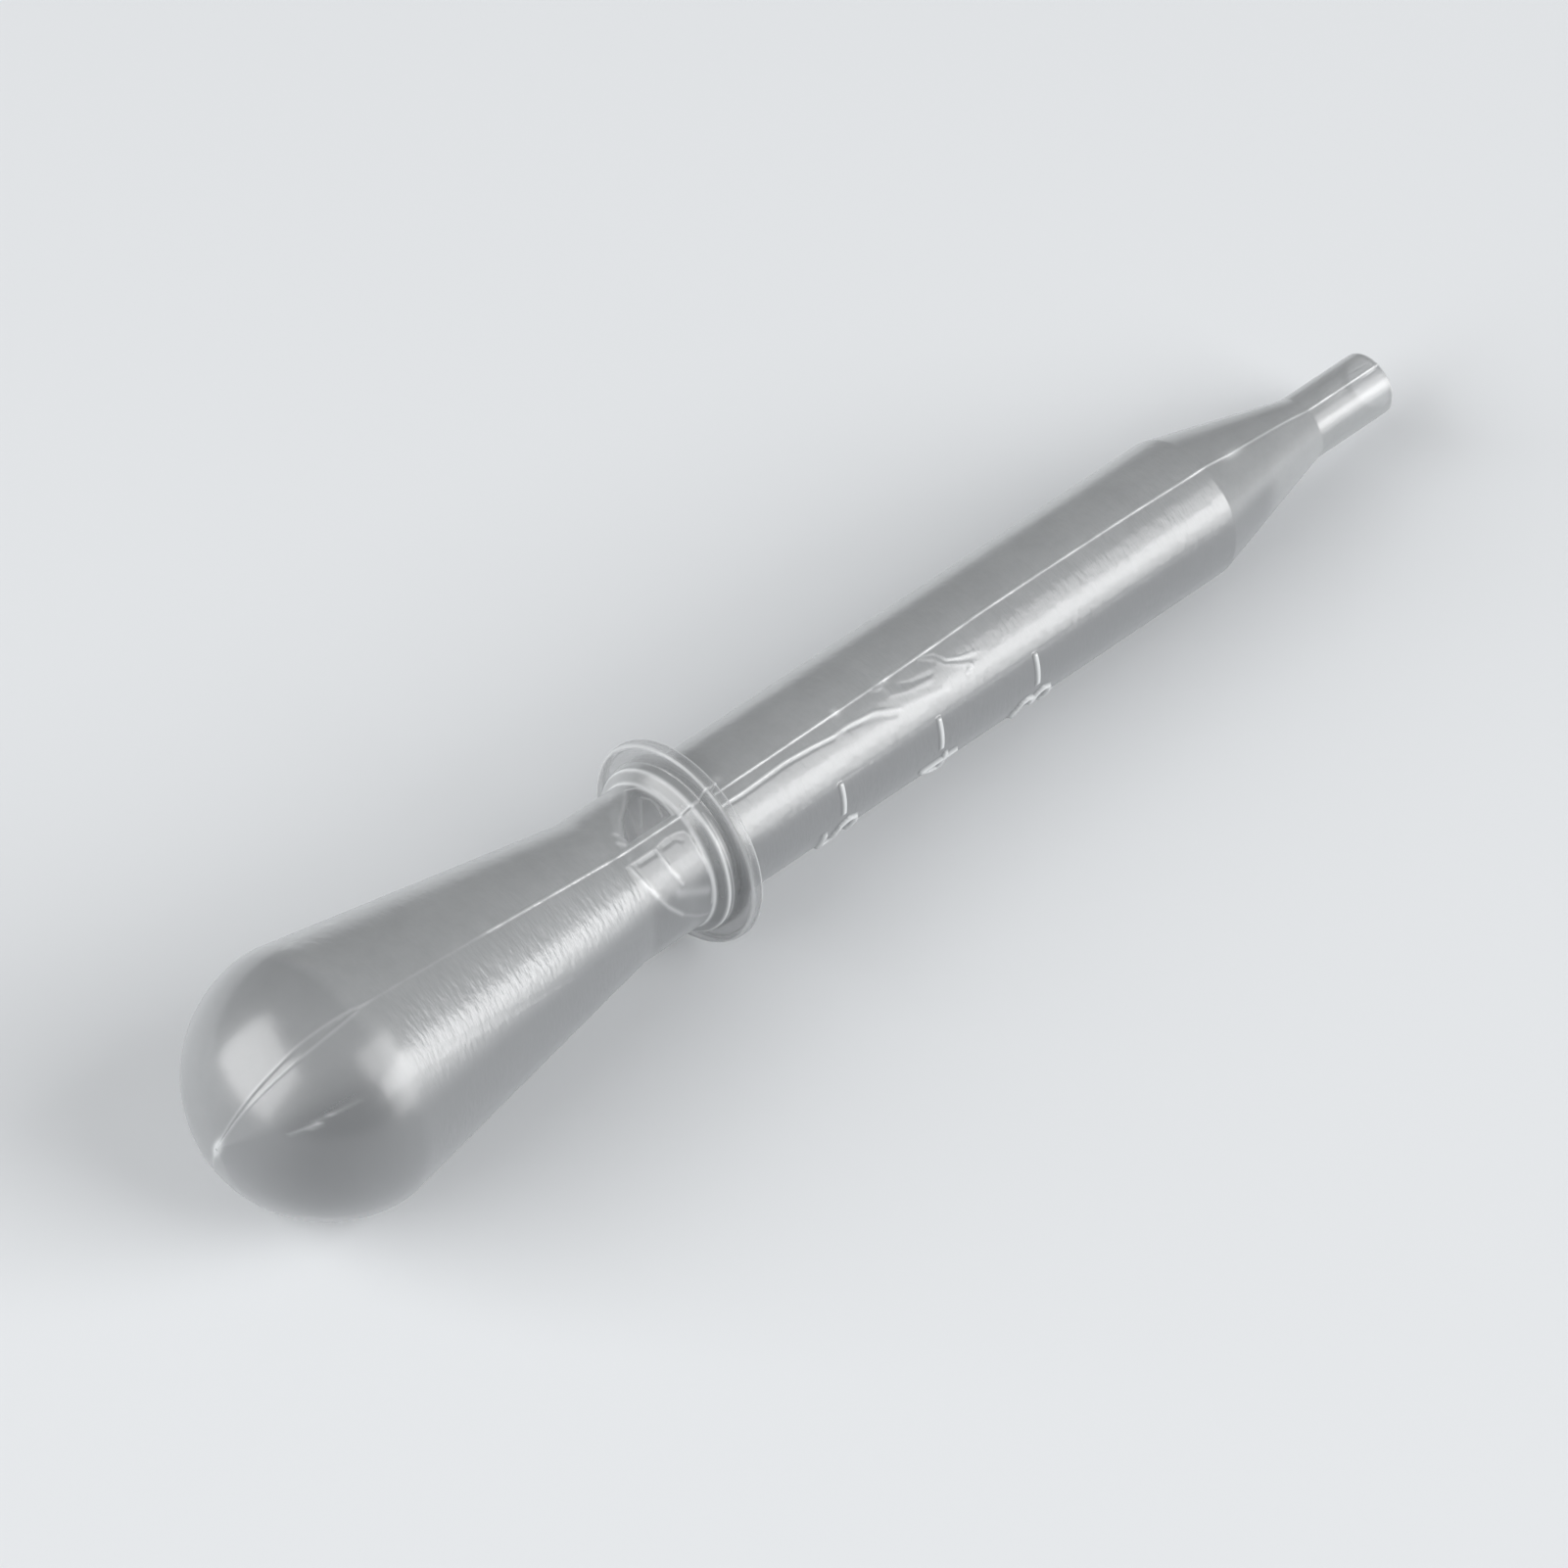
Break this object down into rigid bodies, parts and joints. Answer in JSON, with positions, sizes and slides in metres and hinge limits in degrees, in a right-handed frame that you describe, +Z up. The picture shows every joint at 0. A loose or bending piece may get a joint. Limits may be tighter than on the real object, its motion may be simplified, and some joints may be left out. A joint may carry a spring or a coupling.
{
  "type": "plastic dropper pipette",
  "caption": "One-piece plastic dropper pipette with a squeeze bulb, a finger flange, a graduated barrel and a narrow tip.",
  "frame": {"origin": "centre of the underside of the box that bounds the dropper as it lies at rest on its bulb and the tip end of its barrel", "axes": "+X from the bulb to the tip along the table, +Z up, +Y across; the dropper's own axis dips 2.92 degrees towards the tip"},
  "size_m": [0.1234, 0.0212, 0.0212],
  "materials": {
    "polyethylene": "natural, milky translucent low-density polyethylene, satin"
  },
  "bodies": {
    "root": {"dropper_pipette": "polyethylene"}
  },
  "joints": []
}
